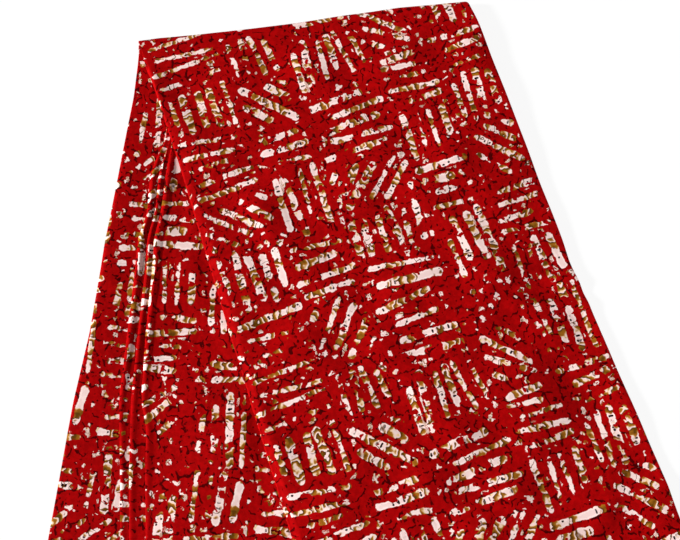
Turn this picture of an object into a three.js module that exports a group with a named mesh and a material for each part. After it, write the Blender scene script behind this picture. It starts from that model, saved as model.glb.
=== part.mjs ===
// A length of printed cotton cloth, folded lengthwise into a band of four plies, laid flat and
// folded over once on a skewed crease. The front leg lies on the back leg. Each ply is two thin
// layers of cloth pressed together. Millimetres, +Z up, resting on z = 0.
import * as THREE from 'three';

// ---- Driving dimensions ----
const BAND_WIDTH = 292; // a quarter of the cloth's 1168 mm width
const LEG_LENGTH = 914; // crease to hem along a leg's left edge
const PLY_WALL = 1.0; // two layers of cloth and the air between them
const PLY_GAP = 0.3; // between neighbouring plies, and at every seam between solids
const CREASE_RISE = 7.6; // degrees that the crease climbs to the right
const FRONT_LEAN = 18.4; // degrees that the front leg leans right of straight down
const CREASE_CORNER = new THREE.Vector2(-227.4, 449.7); // the crease's left end
const ROLL_RADIUS = 2.45; // outer radius of the front leg's rolled left fold
const ROLL_TURN = 160; // degrees that the rolled fold turns, from the face to its lip
const ROLL_START = 5; // the fold lies open this close to the crease
const ROLL_FULL = 45; // and is fully rolled from here on
const ROLL_OPEN = 0.35; // share of the rolled cloth that stands out where it lies open
const CORNER_ROUND = 2.5; // how far the crease's outermost line stops short of its right end
const CORNER_INSET = 4; // the back leg's plies keep this far inside the crease's right end
const CORNER_RUN = 60; // and reach their own width this far from it
const DRAPE_RUN = 80; // how far the front leg takes to come down past the plies beneath it
const SAG_RUN = 60; // the same past the single bottom ply, which is much lower
const EDGE_CLEARANCE = 1; // a ply stays level this far past an edge beneath it
const INNER_EDGE_LEAN = 1.2; // degrees right of straight down of the inner plies' right edges
const OUTER_EDGE_LEAN = -7; // the same of the bottom ply's right edge
const BEAD_WIDTH = 4.6; // widest puffed edge of a folded ply
const BEAD_RISE = 1.2; // how much such an edge stands above its ply
const BOTTOM_PUFF = 0.35; // the bottom ply's edge is flatter than the folded edges above it

// How far the front leg's edges wander to the right of straight lines, by distance from the crease.
const FRONT_EDGES = [
  { along: 0, left: -2.8, right: -4.2 },
  { along: 8, left: -2.7, right: -3.1 },
  { along: 18, left: -2.2, right: -2.3 },
  { along: 30, left: -2, right: -2.4 },
  { along: 55, left: -1.5, right: -2.8 },
  { along: 94, left: -1, right: -3.1 },
  { along: 115, left: -0.7, right: -3.1 },
  { along: 144, left: -0.8, right: -3.3 },
  { along: 172, left: -1.1, right: -4 },
  { along: 211, left: -1.6, right: -4.2 },
  { along: 232, left: -1.6, right: -4.4 },
  { along: 250, left: -1.8, right: -6 },
  { along: 275, left: -2.3, right: -4.4 },
  { along: 300, left: -1.8, right: -3.4 },
  { along: 342, left: -2.5, right: -2.6 },
  { along: 389, left: -2.5, right: -1.1 },
  { along: 425, left: -2.8, right: 0 },
  { along: 620, left: -0.5, right: -1 },
  { along: 770, left: -0.8, right: 0.8 },
  { along: 914, left: 0, right: 0 },
];

// Left edges of the back leg's plies, from the bottom one up: millimetres right of the crease's
// left end, by distance straight down from it. puff is how full the folded edges are.
const BACK_EDGES = [
  { down: 0, bottom: -4.9, second: 8, third: 10, top: 12, puff: 0 },
  { down: 12, bottom: -5.1, second: 10, third: 12, top: 14, puff: 0 },
  { down: 46, bottom: -7.3, second: 19, third: 21, top: 23, puff: 0 },
  { down: 69, bottom: -10.4, second: 24, third: 26.5, top: 28.8, puff: 0 },
  { down: 89, bottom: -13, second: 23, third: 27.2, top: 29.8, puff: 0 },
  { down: 104, bottom: -14.9, second: 16.5, third: 23, top: 27.5, puff: 0.4 },
  { down: 120, bottom: -16.9, second: 11, third: 18.8, top: 25.2, puff: 1 },
  { down: 154, bottom: -21.3, second: 10.2, third: 17.2, top: 22.5, puff: 1 },
  { down: 179, bottom: -24.8, second: 3.4, third: 11.5, top: 17.6, puff: 1 },
  { down: 204, bottom: -27.1, second: 2.4, third: 11.3, top: 17.5, puff: 1 },
  { down: 257, bottom: -32.7, second: -1, third: 8, top: 14.7, puff: 0.9 },
  { down: 314, bottom: -42.3, second: -4.9, third: 5.1, top: 13.5, puff: 0.6 },
  { down: 339, bottom: -45.2, second: -3.1, third: 5.7, top: 19, puff: 0.5 },
  { down: 369, bottom: -48.5, second: -0.9, third: 6.5, top: 19.5, puff: 0.4 },
  { down: 423, bottom: -54.9, second: 2.1, third: 9.4, top: 22.6, puff: 0.4 },
  { down: 554, bottom: -70.9, second: 5, third: 13, top: 26, puff: 0.4 },
  { down: 694, bottom: -88, second: 9, third: 17, top: 30, puff: 0.4 },
  { down: 907, bottom: -111.5, second: 14, third: 22, top: 35, puff: 0.4 },
];

// The back leg's plies. level counts plies up from the surface, outset is how far right of the
// crease's right end a ply's right edge stands, and endDown is where its left edge ends.
const BACK_PLIES = [
  { node: 'back_leg_bottom_ply', key: 'bottom', over: 'second', level: 0, outset: 0, endDown: 907 },
  { node: 'back_leg_second_ply', key: 'second', over: 'third', level: 1, outset: 6, endDown: 907 },
  { node: 'back_leg_third_ply', key: 'third', over: 'top', level: 2, outset: 3, endDown: 903 },
  { node: 'back_leg_top_ply', key: 'top', over: null, level: 3, outset: 0, endDown: 905 },
];

// The front leg's hidden plies, from the lowest up: how far each keeps inside the outer ply.
const HIDDEN_PLIES = [
  { left: 3.4, right: 2.6, hem: 5 },
  { left: 3.2, right: 1.2, hem: 2 },
  { left: 3.6, right: 2.2, hem: 3.6 },
];

const GROOVE_DEPTH = 0.9; // of the grooves between the hidden plies' edges

// Longest step between sections along each solid, and how finely the crease turns.
const OUTER_STEP = 40;
const HIDDEN_STEP = 40;
const BACK_STEP = 40;
const TURN_STEPS = 6;

const CLOTH_RED = '#a10b0e';
const CLOTH_ROUGHNESS = 0.85;

// ---- Values worked out from them ----
const radians = THREE.MathUtils.degToRad;
const PLY_STEP = PLY_WALL + PLY_GAP;
const LEG_THICKNESS = 4 * PLY_WALL + 3 * PLY_GAP;
const HIDDEN_THICKNESS = 3 * PLY_WALL + 2 * PLY_GAP;
const HIDDEN_PITCH = HIDDEN_THICKNESS / HIDDEN_PLIES.length;
const FOLD_AXIS_HEIGHT = LEG_THICKNESS + PLY_GAP / 2;
const SKEW = radians(FRONT_LEAN - CREASE_RISE);
const ROLL_MID_RADIUS = ROLL_RADIUS - PLY_WALL / 2;
const CREASE_WAY = headingOf(CREASE_RISE + 90); // along the crease, to the right
const OFF_CREASE = headingOf(CREASE_RISE); // square to it, down both legs
const FRONT_WAY = headingOf(FRONT_LEAN); // along the front leg
const FRONT_ACROSS = headingOf(FRONT_LEAN + 90);
const CREASE_END = along(CREASE_CORNER, CREASE_WAY, BAND_WIDTH / Math.cos(SKEW));

// A unit vector so many degrees to the right of straight down (anticlockwise, seen from above).
function headingOf(degrees) {
  return new THREE.Vector2(Math.sin(radians(degrees)), -Math.cos(radians(degrees)));
}

function along(start, way, distance) {
  return start.clone().addScaledVector(way, distance);
}

// A column of a table at a place between its rows, on straight lines.
function readTable(table, placeKey, valueKey, place) {
  const last = table.findIndex((row) => row[placeKey] >= place);
  if (last === 0) return table[0][valueKey];
  if (last < 0) return table[table.length - 1][valueKey];
  const before = table[last - 1];
  const after = table[last];
  const share = (place - before[placeKey]) / (after[placeKey] - before[placeKey]);
  return THREE.MathUtils.lerp(before[valueKey], after[valueKey], share);
}

// How far a point lies to the right of the line that leaves the crease's right end at a lean.
function pastEdge(point, lean) {
  return point.clone().sub(CREASE_END).dot(headingOf(lean + 90));
}

// How much lower a ply lies past the bottom ply's right edge, from 0 to one ply.
function sagAt(point) {
  const share = (pastEdge(point, OUTER_EDGE_LEAN) - EDGE_CLEARANCE) / SAG_RUN;
  return PLY_STEP * THREE.MathUtils.clamp(share, 0, 1);
}

// Height of the front leg's underside: level on the back leg, then down to the surface.
function frontBase(point) {
  const past = pastEdge(point, INNER_EDGE_LEAN);
  const fallen = THREE.MathUtils.smoothstep(past, EDGE_CLEARANCE, EDGE_CLEARANCE + DRAPE_RUN);
  return PLY_STEP - sagAt(point) + 3 * PLY_STEP * (1 - fallen);
}

// Shares of the way from one point to another at which a section needs a point: the creases of
// the height functions, kept in order and inside the section, with points added in between.
function sectionShares(from, to, creases, added) {
  const apart = 0.002;
  const count = creases.length + 2;
  const raw = creases.map(({ lean, past }) => {
    const start = pastEdge(from, lean);
    return (past - start) / (pastEdge(to, lean) - start);
  });
  const inOrder = [0, ...raw.sort((a, b) => a - b), 1].map((share, i) =>
    THREE.MathUtils.clamp(share, i * apart, 1 - (count - 1 - i) * apart));
  return inOrder.flatMap((share, i) => {
    const parts = (added[i] ?? 0) + 1;
    const next = inOrder[i + 1] ?? 1;
    return Array.from({ length: parts }, (_, k) => THREE.MathUtils.lerp(share, next, k / parts));
  });
}

const SAG_CREASE = { lean: OUTER_EDGE_LEAN, past: EDGE_CLEARANCE };
const DRAPE_CREASES = [0, 1 / 3, 2 / 3, 1].map((share) => (
  { lean: INNER_EDGE_LEAN, past: EDGE_CLEARANCE + share * DRAPE_RUN }));

// ---- Solids from rows of sections ----

// Gathers the points and triangles of one closed solid.
class Shell {
  constructor() {
    this.points = [];
    this.index = [];
  }

  add(point) {
    this.points.push(point);
    return this.points.length - 1;
  }

  triangle(a, b, c) {
    this.index.push(a, b, c);
  }

  quad(a, b, c, d) {
    this.triangle(a, b, c);
    this.triangle(a, c, d);
  }

  // Joins closed sections of equal length, each a list of point numbers.
  loft(sections) {
    for (let row = 0; row + 1 < sections.length; row += 1) {
      const near = sections[row];
      const far = sections[row + 1];
      near.forEach((point, i) => {
        const next = (i + 1) % near.length;
        this.quad(point, far[i], far[next], near[next]);
      });
    }
  }

  // Closes a section with a flat face; `outline` is the section in its own plane.
  flatEnd(section, outline, isFirst) {
    for (const [a, b, c] of THREE.ShapeUtils.triangulateShape(outline, [])) {
      if (isFirst) this.triangle(section[a], section[b], section[c]);
      else this.triangle(section[a], section[c], section[b]);
    }
  }

  geometry() {
    const geometry = new THREE.BufferGeometry().setFromPoints(this.points);
    geometry.setIndex(this.index);
    return geometry;
  }
}

// Every row of a table, and enough places between them that none are over `step` apart.
function stations(table, key, step, end) {
  const places = table.map((row) => row[key]).filter((place) => place < end);
  places.push(end);
  return places.flatMap((place, i) => {
    if (i === 0) return [place];
    const parts = Math.ceil((place - places[i - 1]) / step);
    return Array.from({ length: parts }, (_, k) =>
      THREE.MathUtils.lerp(places[i - 1], place, (k + 1) / parts));
  });
}

// ---- The front leg ----

// Plan place on the front leg: `across` from its left edge, `share` of the way to its end.
function frontPlan(across, share) {
  const side = across / BAND_WIDTH;
  const leftAlong = share * LEG_LENGTH;
  const rightAlong = share * (LEG_LENGTH - BAND_WIDTH * Math.tan(SKEW));
  const wander = THREE.MathUtils.lerp(
    readTable(FRONT_EDGES, 'along', 'left', leftAlong),
    readTable(FRONT_EDGES, 'along', 'right', rightAlong),
    THREE.MathUtils.clamp(side, 0, 1));
  const place = across + wander;
  const down = THREE.MathUtils.lerp(place * Math.tan(SKEW), LEG_LENGTH, share);
  return along(along(CREASE_CORNER, FRONT_ACROSS, place), FRONT_WAY, down);
}

// A point of the front leg, `height` above its underside.
function frontPoint(across, height, share) {
  const plan = frontPlan(across, share);
  const level = frontPlan(Math.max(across, ROLL_RADIUS), share);
  return new THREE.Vector3(plan.x, plan.y, frontBase(level) + height);
}

// The same point carried round the crease by an angle, towards the back leg.
function turnPoint(across, height, angle) {
  const held = 1 - (CORNER_ROUND / BAND_WIDTH) * Math.sin(angle) ** 2;
  const start = frontPlan(across * held, 0);
  const radius = PLY_GAP / 2 + height;
  const slip = -angle * radius * Math.tan(SKEW);
  const plan = along(along(start, CREASE_WAY, slip), OFF_CREASE, -radius * Math.sin(angle));
  return new THREE.Vector3(plan.x, plan.y, FOLD_AXIS_HEIGHT + radius * Math.cos(angle));
}

// Adds a solid of the front leg, its hem end still open: sections over the leg, hem first, and
// then round the crease. `section` gives its outline as (across, height) pairs at a share of
// the leg. Returns the point numbers of the section at the hem.
function addFrontSolid(shell, section, hem, step) {
  const shares = stations(FRONT_EDGES, 'along', step, hem).map((place) => place / LEG_LENGTH);
  const rows = shares.reverse().map((share) =>
    section(share).map(({ x, y }) => shell.add(frontPoint(x, y, share))));
  const atCrease = section(0);
  for (let i = 1; i <= TURN_STEPS; i += 1) {
    rows.push(atCrease.map(({ x, y }) => shell.add(turnPoint(x, y, (Math.PI * i) / TURN_STEPS))));
  }
  shell.loft(rows);
  shell.flatEnd(rows[rows.length - 1], atCrease, false);
  return rows[0];
}

// Places across a front-leg section between two distances from its left edge.
function frontPlaces(from, to, share) {
  const creases = [SAG_CREASE, ...DRAPE_CREASES];
  const shares = sectionShares(frontPlan(from, share), frontPlan(to, share), creases, [3, 1, 0, 0, 0, 1]);
  return shares.map((part) => THREE.MathUtils.lerp(from, to, part));
}

// The outer ply: the face of the front leg, rolled under along its left edge.
function outerSection(share) {
  const rolled = THREE.MathUtils.smoothstep(share * LEG_LENGTH, ROLL_START, ROLL_FULL);
  const rollLength =
    ROLL_MID_RADIUS * radians(ROLL_TURN) * THREE.MathUtils.lerp(ROLL_OPEN, 1, rolled);
  const faceHeight = LEG_THICKNESS - PLY_WALL / 2;
  const outside = [];
  const inside = [];
  for (const part of [1, 0.8, 0.6, 0.4, 0.2]) {
    const bend = Math.max(rolled, 1e-3) / ROLL_MID_RADIUS;
    const angle = part * rollLength * bend;
    const middle = new THREE.Vector2(
      ROLL_RADIUS - Math.sin(angle) / bend, faceHeight - (1 - Math.cos(angle)) / bend);
    const out = new THREE.Vector2(-Math.sin(angle), Math.cos(angle));
    outside.push(along(middle, out, PLY_WALL / 2));
    inside.push(along(middle, out, -PLY_WALL / 2));
  }
  for (const place of frontPlaces(ROLL_RADIUS, BAND_WIDTH, share)) {
    outside.push(new THREE.Vector2(place, LEG_THICKNESS));
    inside.push(new THREE.Vector2(place, LEG_THICKNESS - PLY_WALL));
  }
  outside.push(new THREE.Vector2(BAND_WIDTH + PLY_WALL / 3, LEG_THICKNESS - PLY_WALL / 2));
  return [...inside, ...outside.reverse()];
}

function outerPly() {
  const shell = new Shell();
  const hemSection = addFrontSolid(shell, outerSection, LEG_LENGTH, OUTER_STEP);
  shell.flatEnd(hemSection, outerSection(1), true);
  return shell.geometry();
}

// The hidden plies' edge from the bottom up: each ply's nose and the groove above it, with how
// far in from the left, the right and the hem it lies.
function layeredEdge() {
  return HIDDEN_PLIES.flatMap((ply, i) => {
    const nose = { ...ply, height: (i + 0.5) * HIDDEN_PITCH };
    const above = HIDDEN_PLIES[i + 1];
    if (!above) return [nose];
    const groove = {
      left: Math.max(ply.left, above.left) + GROOVE_DEPTH,
      right: Math.max(ply.right, above.right) + GROOVE_DEPTH,
      hem: Math.max(ply.hem, above.hem) + GROOVE_DEPTH,
      height: (i + 1) * HIDDEN_PITCH,
    };
    return [nose, groove];
  });
}

// Places across the hidden plies' level faces.
function hiddenPlaces(share) {
  const left = Math.max(...HIDDEN_PLIES.map((ply) => ply.left)) + GROOVE_DEPTH;
  const right = Math.max(...HIDDEN_PLIES.map((ply) => ply.right)) + GROOVE_DEPTH;
  return frontPlaces(left, BAND_WIDTH - right, share);
}

// The three hidden plies' section, with layered edges at both sides.
function hiddenSection(share) {
  const places = hiddenPlaces(share);
  const edge = layeredEdge();
  return [
    ...places.map((place) => new THREE.Vector2(place, 0)),
    ...edge.map((level) => new THREE.Vector2(BAND_WIDTH - level.right, level.height)),
    ...places.slice().reverse().map((place) => new THREE.Vector2(place, HIDDEN_THICKNESS)),
    ...edge.slice().reverse().map((level) => new THREE.Vector2(level.left, level.height)),
  ];
}

// The front leg's hidden plies in one solid: the layered edge runs round its hem too, as rows
// of points across the end, one row for each level of the edge.
function hiddenPlies() {
  const shell = new Shell();
  const hem = Math.min(...HIDDEN_PLIES.map((ply) => ply.hem));
  const end = LEG_LENGTH - hem - GROOVE_DEPTH;
  const section = addFrontSolid(shell, hiddenSection, end, HIDDEN_STEP);
  const edge = layeredEdge();
  const places = hiddenPlaces(end / LEG_LENGTH);
  const count = places.length;
  const bottom = section.slice(0, count);
  const right = section.slice(count, count + edge.length);
  const top = section.slice(count + edge.length, 2 * count + edge.length).reverse();
  const left = section.slice(2 * count + edge.length).reverse();
  const levels = edge.map((level, k) => {
    const endShare = (LEG_LENGTH - level.hem) / LEG_LENGTH;
    const inner = places.map((place) => shell.add(frontPoint(place, level.height, endShare)));
    return [left[k], ...inner, right[k]];
  });
  levels.slice(1).forEach((upper, k) => {
    const lower = levels[k];
    for (let i = 0; i + 1 < lower.length; i += 1) {
      shell.quad(lower[i], lower[i + 1], upper[i + 1], upper[i]);
    }
  });
  const lowest = levels[0];
  const highest = levels[levels.length - 1];
  for (let i = 0; i + 1 < count; i += 1) {
    shell.quad(bottom[i], bottom[i + 1], lowest[i + 2], lowest[i + 1]);
    shell.quad(highest[i + 1], highest[i + 2], top[i + 1], top[i]);
  }
  shell.triangle(bottom[0], lowest[1], lowest[0]);
  shell.triangle(bottom[count - 1], lowest[count + 1], lowest[count]);
  shell.triangle(highest[0], highest[1], top[0]);
  shell.triangle(highest[count], highest[count + 1], top[count - 1]);
  return shell.geometry();
}

// ---- The back leg ----

// Left end of a back ply's section: its fold's outline as (across, height) pairs, from the
// underside up, no wider than the room before the next ply's edge.
function foldedEdge(room, puff) {
  const width = Math.min(BEAD_WIDTH, Math.max(0.4, 0.85 * room - 0.5));
  const full = width / BEAD_WIDTH;
  const high = PLY_WALL + puff * BEAD_RISE * full;
  return [
    new THREE.Vector2(0.26 * width, 0),
    new THREE.Vector2(0.06 * width, 0.25 * high),
    new THREE.Vector2(0, 0.5 * high),
    new THREE.Vector2(0.07 * width, 0.8 * high),
    new THREE.Vector2(0.3 * width, high),
    new THREE.Vector2(0.62 * width, THREE.MathUtils.lerp(PLY_WALL, high, 0.85)),
    new THREE.Vector2(width, PLY_WALL),
  ];
}

// A ply of the back leg, from the crease to its end.
function backPly({ key, over, level, outset, endDown }) {
  const isBottom = level === 0;
  const rightLean = isBottom ? OUTER_EDGE_LEAN : INNER_EDGE_LEAN;
  const rightWay = headingOf(rightLean);
  const firstRow = along(CREASE_CORNER, OFF_CREASE, PLY_GAP);
  const rightStart = along(along(CREASE_END, OFF_CREASE, PLY_GAP), CREASE_WAY, outset);
  const endLeft = CREASE_CORNER.y - endDown;
  const endRight = endLeft + BAND_WIDTH * Math.sin(radians(rightLean));
  const rightLength = (rightStart.y - endRight) / -rightWay.y;
  const startOffset = BACK_EDGES[0][key];
  const startDown = -startOffset * Math.tan(radians(CREASE_RISE));
  const places = stations(BACK_EDGES, 'down', BACK_STEP, endDown);
  const shell = new Shell();
  const outlines = [];
  const rows = places.map((place) => {
    const share = place / endDown;
    const down = THREE.MathUtils.lerp(startDown, endDown, share);
    const offset = readTable(BACK_EDGES, 'down', key, place);
    const left = new THREE.Vector2(firstRow.x + offset, firstRow.y - down);
    const narrowed = 1 - THREE.MathUtils.smoothstep(place, 0, CORNER_RUN);
    const right = along(along(rightStart, rightWay, share * rightLength), CREASE_WAY,
      -(outset + CORNER_INSET) * narrowed);
    const width = left.distanceTo(right);
    const across = right.clone().sub(left).divideScalar(width);
    const room = over ? readTable(BACK_EDGES, 'down', over, place) - offset : BEAD_WIDTH * 2;
    const puff = readTable(BACK_EDGES, 'down', 'puff', place) * (isBottom ? BOTTOM_PUFF : 1);
    const edge = foldedEdge(room, puff);
    const beadEnd = edge[edge.length - 1].x;
    const shares = sectionShares(along(left, across, beadEnd), right, isBottom ? [] : [SAG_CREASE],
      isBottom ? [4] : [2, 2]);
    const widths = shares.map((part) => THREE.MathUtils.lerp(beadEnd, width, part));
    const outline = [
      edge[0],
      ...widths.map((w) => new THREE.Vector2(w, 0)),
      new THREE.Vector2(width + PLY_WALL / 3, PLY_WALL / 2),
      ...widths.slice().reverse().map((w) => new THREE.Vector2(w, PLY_WALL)),
      ...edge.slice(1, -1).reverse(),
    ];
    outlines.push(outline);
    return outline.map(({ x, y }) => {
      const plan = along(left, across, x);
      const sag = isBottom ? 0 : sagAt(plan);
      return shell.add(new THREE.Vector3(plan.x, plan.y, level * PLY_STEP - sag + y));
    });
  });
  shell.loft(rows.slice().reverse());
  shell.flatEnd(rows[0], outlines[0], false);
  shell.flatEnd(rows[rows.length - 1], outlines[rows.length - 1], true);
  return shell.geometry();
}

// ---- The part ----
function clothMesh(name, geometry) {
  const material = new THREE.MeshStandardMaterial({
    color: CLOTH_RED,
    roughness: CLOTH_ROUGHNESS,
    metalness: 0,
  });
  const mesh = new THREE.Mesh(geometry, material);
  mesh.name = name;
  return mesh;
}

const cloth = new THREE.Group();
cloth.add(clothMesh('front_leg_outer_ply', outerPly()));
cloth.add(clothMesh('front_leg_hidden_plies', hiddenPlies()));
for (const ply of BACK_PLIES) {
  cloth.add(clothMesh(ply.node, backPly(ply)));
}

export default cloth;
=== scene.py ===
"""Folded wax print fabric: a length of red cotton print, folded lengthwise into a flat band
and laid over once on a skewed crease. Six sheets, one for each solid of the frame, carry a
print worked out from a charted repeat of loose bars. Shapes are in millimetres until they
are put into a mesh, which is in metres."""

import math

import bpy
import numpy as np
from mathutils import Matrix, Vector


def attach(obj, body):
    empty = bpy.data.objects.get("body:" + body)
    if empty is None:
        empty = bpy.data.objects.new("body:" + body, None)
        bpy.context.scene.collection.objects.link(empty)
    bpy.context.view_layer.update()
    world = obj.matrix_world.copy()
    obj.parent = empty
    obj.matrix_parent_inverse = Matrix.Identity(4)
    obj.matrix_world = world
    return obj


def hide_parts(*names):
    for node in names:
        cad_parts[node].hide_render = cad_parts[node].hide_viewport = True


bl_info = {
    "name": "Folded wax print fabric",
    "version": (1, 0, 0),
    "blender": (4, 5, 0),
    "location": "3D View > Sidebar > Wax print",
    "description": "A folded length of wax print cotton and the plain table that it lies on",
    "category": "Object",
}

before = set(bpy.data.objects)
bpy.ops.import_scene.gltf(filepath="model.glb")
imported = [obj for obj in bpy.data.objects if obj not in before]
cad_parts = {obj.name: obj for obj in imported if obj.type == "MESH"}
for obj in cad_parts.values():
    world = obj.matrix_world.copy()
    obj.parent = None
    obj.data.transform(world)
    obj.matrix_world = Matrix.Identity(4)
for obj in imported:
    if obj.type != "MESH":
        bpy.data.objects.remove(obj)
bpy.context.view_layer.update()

MM = 0.001

# ---- How the cloth lies, in millimetres and degrees, as its solids have it ----
CREASE_RISE = 7.6  # the crease climbs to the right
FRONT_LEAN = 18.4  # the front leg leans right of straight down
BACK_LEAN = 2 * CREASE_RISE - FRONT_LEAN  # and the back leg's threads lean left
CREASE_CORNER = np.array([-227.4, 449.7])  # the crease's left end
PLY_WALL = 1.0
PLY_GAP = 0.3
PLY_STEP = PLY_WALL + PLY_GAP
LEG_THICKNESS = 4 * PLY_WALL + 3 * PLY_GAP
HIDDEN_THICKNESS = 3 * PLY_WALL + 2 * PLY_GAP
FOLD_AXIS_HEIGHT = LEG_THICKNESS + PLY_GAP / 2
ROLL_RADIUS = 2.45
ROLL_MIDDLE = ROLL_RADIUS - PLY_WALL / 2
ROLL_LENGTH = ROLL_MIDDLE * math.radians(160)
ROLL_START, ROLL_FULL = 5, 45
ROLL_OPEN = 0.35  # share of the rolled cloth that stands out where it lies open
CORNER_ROUND = 2.5
CORNER_INSET = 4
CORNER_RUN = 60
DRAPE_RUN = 80
SAG_RUN = 60
EDGE_CLEARANCE = 1
INNER_EDGE_LEAN = 1.2
OUTER_EDGE_LEAN = -7
BEAD_WIDTH = 6.4
BEAD_CROWN = 0.6  # share of a full bead's width from its edge to its top
FLAT_CROWN = 0.35  # and how much of that is left where the fold lies flat
TOP_PLY_ROOM = 9.2  # width that the top ply's bead may use
NOSE_SHARE = 0.14  # how far a bead's rounded edge stands out, as a share of the bead
BEAD_RISE = 1.9
BOTTOM_PUFF = 0.65
SKEW = math.radians(FRONT_LEAN - CREASE_RISE)
SHOWN_LENGTH = 560  # how far down the legs the grid is finest
STANDARD_BAND = 292
BOTTOM_PLY_LEAN = -5.0  # lean of the bottom ply's threads
MAP_START, MAP_STEP_ACROSS, MAP_STEP_DOWN = 12, 37, 23  # where each back ply's print begins
HIDDEN_MAP_START = 400  # and the hidden plies'

# Distance from the crease, then how far the front leg's left and right edges wander.
FRONT_EDGES = np.array([
    [0, -2.8, -4.2], [8, -2.7, -3.1], [18, -2.2, -2.3], [30, -2, -2.4], [55, -1.5, -2.8],
    [94, -1, -3.1], [115, -0.7, -3.1], [144, -0.8, -3.3], [172, -1.1, -4], [211, -1.6, -4.2],
    [232, -1.6, -4.4], [250, -1.8, -6], [275, -2.3, -4.4], [300, -1.8, -3.4], [342, -2.5, -2.6],
    [389, -2.5, -1.1], [425, -2.8, 0], [620, -0.5, -1], [770, -0.8, 0.8], [914, 0, 0],
])

# Distance along the crease from its left end, then how far its outermost line bends down.
CREASE_BENDS = np.array([
    [0, 0], [18, -0.4], [50, 0.8], [97, 1.5], [142, 1.4], [178, -0.6], [206, -1], [233, -2],
    [262, -0.8], [290, 0],
])

# Distance down from the crease's left end, then how far right of it the left edges of the
# bottom, second, third and top plies of the back leg lie, and how full their folds are.
BACK_EDGES = np.array([
    [0, -4.9, 8, 10, 12, 0], [12, -5.1, 10, 12, 14, 0], [46, -7.3, 19, 21, 23, 0],
    [69, -10.4, 24, 26.5, 28.8, 0], [89, -13, 23, 27.2, 29.8, 0],
    [104, -14.9, 16.5, 23, 27.5, 0.4], [120, -16.9, 11, 18.8, 25.2, 1],
    [154, -21.3, 10.2, 17.2, 22.5, 1], [179, -24.8, 3.4, 11.5, 17.6, 1],
    [204, -27.1, 2.4, 11.3, 17.5, 1], [257, -32.7, -1, 8, 14.7, 0.9],
    [314, -42.3, -4.9, 5.1, 13.5, 0.5], [339, -45.2, -3.1, 5.7, 19, 0.35],
    [369, -48.5, -0.9, 6.5, 19.5, 0.25], [423, -54.9, 2.1, 9.4, 22.6, 0.2],
    [554, -70.9, 5, 13, 26, 0.2], [694, -88, 9, 17, 30, 0.2], [907, -111.5, 14, 22, 35, 0.2],
])

# Node, its column in BACK_EDGES, how far its right edge stands past the widest ply's, where
# its left edge ends, and the steps between its columns: by its left edge, and further right.
BACK_PLIES = (
    ("back_leg_bottom_ply", 1, 0, 907, 2.6, 5.0),
    ("back_leg_second_ply", 2, 6, 907, 4.0, 8.0),
    ("back_leg_third_ply", 3, 3, 903, 4.0, 8.0),
    ("back_leg_top_ply", 4, 0, 905, 2.6, 3.0),
)

# How far the front leg's hidden plies, from the lowest up, keep inside the outer ply at the
# left, the right and the hem.
HIDDEN_PLIES = ((3.4, 2.6, 5.0), (3.2, 1.2, 2.0), (3.6, 2.2, 3.6))
GROOVE_DEPTH = 0.9
EDGE_FALL = 2.6  # how much the front leg comes down towards its soft left edge
EDGE_FALL_ACROSS = (1, 6.5)  # where that fall ends and starts, from the left edge
EDGE_FALL_DOWN = (40, 240)  # and where it begins and is full, from the crease
RELIEF_START = 40  # how far from the crease the creases and waves are full
FRONT_WAVE_SEED, BACK_WAVE_SEED = 5, 9

# Soft ridges and troughs, given one by one. On the front leg each runs between two points given by
# their distance from the left edge and from the crease, then half its width and its rise.
FRONT_CREASES = (
    (300, 326, 252, 302, 4.5, 1.5), (262, 305, 205, 290, 4.5, 1.2), (215, 291, 140, 280, 6, 0.5),
    (300, 335, 226, 309, 4.5, -1.6), (236, 311, 150, 294, 5, -1.3), (160, 294, 78, 284, 6, -0.8),
    (300, 346, 232, 325, 5, 1.2), (240, 323, 170, 306, 5, 1.3), (180, 307, 84, 292, 6, 1),
    (52, 166, 66, 256, 7, 0.7), (38, 174, 50, 256, 8, -0.4), (-2, 24, 22, 114, 9, 0.5),
    (2, 204, 18, 284, 8, 0.6), (0, 324, 12, 414, 8, 0.5), (214, 528, 248, 494, 10, 1.5),
    (248, 494, 300, 500, 9, 1.5), (236, 522, 300, 524, 12, -1.2), (292, 54, 262, 184, 12, 0.5),
    (270, 414, 292, 464, 12, -0.5), (6, 634, 140, 606, 7, 1), (0, 646, 120, 622, 6, -0.9),
    (300, 736, 190, 710, 6, 1.1), (300, 747, 176, 724, 6, -1), (90, 694, 108, 814, 9, 0.7),
    (180, 554, 196, 674, 9, 0.5),
)

# The same on the back leg, between points of the table.
BACK_CREASES = (
    (-264, 242, -238, 232, 7, 0.9), (-242, 234, -198, 218, 9, 1.1), (-202, 218, -152, 203, 8, 1),
    (-260, 228, -152, 190, 6, -0.6), (-258, 336, -248, 236, 6, 0.5), (-264, 126, -256, 16, 6, 0.5),
    (-192, 66, -132, 46, 8, 0.5), (-202, -74, -62, -104, 7, 0.9), (-207, -86, -82, -116, 6, -0.7),
    (-302, -144, -257, -294, 8, 0.8), (-122, -234, 18, -256, 7, 0.9),
    (-112, -246, 28, -270, 6, -0.7), (-62, -34, -22, -194, 9, 0.5),
    (-182, -294, -162, -414, 9, 0.6), (-210, 190, -206, -30, 34, -1.3),
)

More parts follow.
